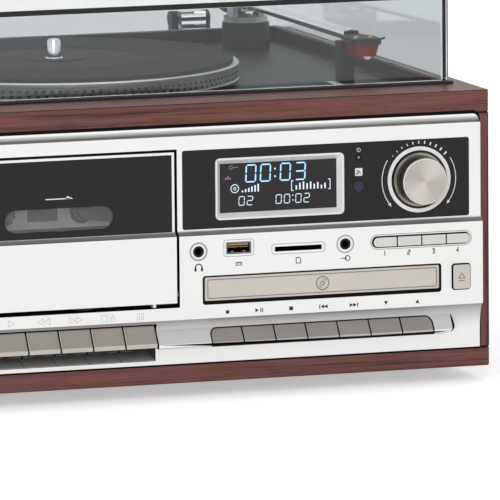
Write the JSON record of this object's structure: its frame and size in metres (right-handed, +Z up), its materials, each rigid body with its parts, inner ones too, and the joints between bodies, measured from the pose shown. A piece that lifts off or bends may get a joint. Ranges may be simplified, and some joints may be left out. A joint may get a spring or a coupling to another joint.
{
  "type": "stereo music centre",
  "caption": "Table-top stereo music centre in a wood cabinet with cassette deck, disc drawer, display, volume knob, keys and a turntable under a hinged cover.",
  "frame": {"origin": "middle of the footprint on the surface that the feet stand on", "axes": "+Z up, +X to the right seen from the front, front faces -Y"},
  "size_m": [0.32, 0.3428, 0.2007],
  "materials": {
    "veneer": "satin",
    "silver": "satin",
    "black_gloss": "gloss",
    "black_matte": "matte",
    "key_taupe": "satin",
    "beige": "satin",
    "clear": "clear",
    "display_glass": "gloss",
    "white": "gloss",
    "lamp": "gloss",
    "ir_filter": "gloss",
    "steel": "brushed",
    "chrome": "polished",
    "aluminium": "brushed",
    "rubber": "matte",
    "board": "satin",
    "iron": "satin"
  },
  "bodies": {
    "cabinet": {"side_boards": "veneer", "top_frame": "veneer", "bottom_board": "veneer", "rear_panel": "black_matte", "feet": "rubber", "front_panel": "silver", "display_panel": "black_gloss", "display_frame": "silver", "display_lens": "display_glass", "knob_ring": "white", "status_lamp": "lamp", "remote_window": "ir_filter", "key_well": "black_matte", "deck_plate": "steel", "jack_sockets": "black_matte", "usb_socket": "steel", "card_socket": "steel", "disc_loader": "black_matte", "front_board": "board", "main_board": "board", "transformer": "iron", "turntable_deck": "black_matte", "platter_motor": "steel", "rear_terminals": "black_matte", "mains_inlet": "black_matte", "cover_hinges": "black_matte"},
    "cassette_door": {"cassette_door": "silver", "door_panel": "black_gloss", "door_window": "clear", "cassette_pocket": "black_matte"},
    "reel_left": {"reel_left": "black_matte"},
    "reel_right": {"reel_right": "black_matte"},
    "flywheel": {"flywheel": "steel"},
    "key_record": {"key_record": "key_taupe"},
    "key_play": {"key_play": "key_taupe"},
    "key_rewind": {"key_rewind": "key_taupe"},
    "key_forward": {"key_forward": "key_taupe"},
    "key_stop": {"key_stop": "key_taupe"},
    "key_pause": {"key_pause": "key_taupe"},
    "disc_tray": {"disc_tray": "beige"},
    "key_1": {"key_1": "key_taupe"},
    "key_2": {"key_2": "key_taupe"},
    "key_3": {"key_3": "key_taupe"},
    "key_4": {"key_4": "key_taupe"},
    "key_5": {"key_5": "key_taupe"},
    "key_6": {"key_6": "key_taupe"},
    "key_7": {"key_7": "key_taupe"},
    "button_1": {"button_1": "beige"},
    "button_2": {"button_2": "beige"},
    "button_3": {"button_3": "beige"},
    "button_4": {"button_4": "beige"},
    "eject_button": {"eject_button": "beige"},
    "volume_knob": {"volume_knob": "aluminium"},
    "platter": {"platter": "aluminium", "platter_mat": "rubber"},
    "arm_carrier": {"arm_carrier": "black_matte"},
    "tonearm": {"tonearm": "aluminium", "headshell": "black_matte"},
    "speed_lever": {"speed_lever": "chrome"},
    "dust_cover": {"dust_cover": "clear"}
  },
  "joints": [
    {"name": "cover_lift", "type": "hinge", "parent": "cabinet", "child": "dust_cover", "pos_m": [0, 0.1669, 0.1596], "axis": [-1, 0, 0], "range_deg": [0, 70]},
    {"name": "platter_spin", "type": "hinge", "parent": "cabinet", "child": "platter", "pos_m": [-0.028, 0.0009, 0.1586], "axis": [0, 0, 1], "continuous": true},
    {"name": "arm_swing", "type": "hinge", "parent": "cabinet", "child": "arm_carrier", "pos_m": [0.117, 0.1169, 0.1469], "axis": [0, 0, -1], "range_deg": [0, 38]},
    {"name": "arm_lift", "type": "hinge", "parent": "arm_carrier", "child": "tonearm", "pos_m": [0.117, 0.1169, 0.1731], "axis": [-1, 0, 0], "range_deg": [0, 4]},
    {"name": "speed_turn", "type": "hinge", "parent": "cabinet", "child": "speed_lever", "pos_m": [0.092, -0.1011, 0.1469], "axis": [0, 0, 1], "range_deg": [0, 40]},
    {"name": "door_open", "type": "hinge", "parent": "cabinet", "child": "cassette_door", "pos_m": [0, -0.1603, 0.055], "axis": [1, 0, 0], "range_deg": [0, 32]},
    {"name": "key_record_press", "type": "hinge", "parent": "cabinet", "child": "key_record", "pos_m": [0, -0.1301, 0.0362], "axis": [1, 0, 0], "range_deg": [0, 8], "stiffness_Nm_per_rad": 0.3, "springref_deg": -8.59},
    {"name": "key_play_press", "type": "hinge", "parent": "cabinet", "child": "key_play", "pos_m": [0, -0.1301, 0.0362], "axis": [1, 0, 0], "range_deg": [0, 8], "stiffness_Nm_per_rad": 0.3, "springref_deg": -8.59},
    {"name": "key_rewind_press", "type": "hinge", "parent": "cabinet", "child": "key_rewind", "pos_m": [0, -0.1301, 0.0362], "axis": [1, 0, 0], "range_deg": [0, 8], "stiffness_Nm_per_rad": 0.3, "springref_deg": -8.59},
    {"name": "key_forward_press", "type": "hinge", "parent": "cabinet", "child": "key_forward", "pos_m": [0, -0.1301, 0.0362], "axis": [1, 0, 0], "range_deg": [0, 8], "stiffness_Nm_per_rad": 0.3, "springref_deg": -8.59},
    {"name": "key_stop_press", "type": "hinge", "parent": "cabinet", "child": "key_stop", "pos_m": [0, -0.1301, 0.0362], "axis": [1, 0, 0], "range_deg": [0, 8], "stiffness_Nm_per_rad": 0.3, "springref_deg": -8.59},
    {"name": "key_pause_press", "type": "hinge", "parent": "cabinet", "child": "key_pause", "pos_m": [0, -0.1301, 0.0362], "axis": [1, 0, 0], "range_deg": [0, 8], "stiffness_Nm_per_rad": 0.3, "springref_deg": -8.59},
    {"name": "reel_left_spin", "type": "hinge", "parent": "cabinet", "child": "reel_left", "pos_m": [-0.09595, -0.1301, 0.0966], "axis": [0, -1, 0], "continuous": true},
    {"name": "reel_right_spin", "type": "hinge", "parent": "cabinet", "child": "reel_right", "pos_m": [-0.05345, -0.1301, 0.0966], "axis": [0, -1, 0], "continuous": true},
    {"name": "flywheel_spin", "type": "hinge", "parent": "cabinet", "child": "flywheel", "pos_m": [-0.05045, -0.1301, 0.0683], "axis": [0, -1, 0], "continuous": true},
    {"name": "tray_slide", "type": "slide", "parent": "cabinet", "child": "disc_tray", "axis": [0, -1, 0], "range_m": [0, 0.125]},
    {"name": "key_1_press", "type": "slide", "parent": "cabinet", "child": "key_1", "axis": [0, 1, 0], "range_m": [0, 0.0008], "stiffness_N_per_m": 400, "springref_m": -0.0015},
    {"name": "key_2_press", "type": "slide", "parent": "cabinet", "child": "key_2", "axis": [0, 1, 0], "range_m": [0, 0.0008], "stiffness_N_per_m": 400, "springref_m": -0.0015},
    {"name": "key_3_press", "type": "slide", "parent": "cabinet", "child": "key_3", "axis": [0, 1, 0], "range_m": [0, 0.0008], "stiffness_N_per_m": 400, "springref_m": -0.0015},
    {"name": "key_4_press", "type": "slide", "parent": "cabinet", "child": "key_4", "axis": [0, 1, 0], "range_m": [0, 0.0008], "stiffness_N_per_m": 400, "springref_m": -0.0015},
    {"name": "key_5_press", "type": "slide", "parent": "cabinet", "child": "key_5", "axis": [0, 1, 0], "range_m": [0, 0.0008], "stiffness_N_per_m": 400, "springref_m": -0.0015},
    {"name": "key_6_press", "type": "slide", "parent": "cabinet", "child": "key_6", "axis": [0, 1, 0], "range_m": [0, 0.0008], "stiffness_N_per_m": 400, "springref_m": -0.0015},
    {"name": "key_7_press", "type": "slide", "parent": "cabinet", "child": "key_7", "axis": [0, 1, 0], "range_m": [0, 0.0008], "stiffness_N_per_m": 400, "springref_m": -0.0015},
    {"name": "button_1_press", "type": "slide", "parent": "cabinet", "child": "button_1", "axis": [0, 1, 0], "range_m": [0, 0.0008], "stiffness_N_per_m": 400, "springref_m": -0.0015},
    {"name": "button_2_press", "type": "slide", "parent": "cabinet", "child": "button_2", "axis": [0, 1, 0], "range_m": [0, 0.0008], "stiffness_N_per_m": 400, "springref_m": -0.0015},
    {"name": "button_3_press", "type": "slide", "parent": "cabinet", "child": "button_3", "axis": [0, 1, 0], "range_m": [0, 0.0008], "stiffness_N_per_m": 400, "springref_m": -0.0015},
    {"name": "button_4_press", "type": "slide", "parent": "cabinet", "child": "button_4", "axis": [0, 1, 0], "range_m": [0, 0.0008], "stiffness_N_per_m": 400, "springref_m": -0.0015},
    {"name": "eject_press", "type": "slide", "parent": "cabinet", "child": "eject_button", "axis": [0, 1, 0], "range_m": [0, 0.0008], "stiffness_N_per_m": 400, "springref_m": -0.0015},
    {"name": "volume_turn", "type": "hinge", "parent": "cabinet", "child": "volume_knob", "pos_m": [0.1199, -0.1571, 0.1083], "axis": [0, -1, 0], "continuous": true}
  ]
}
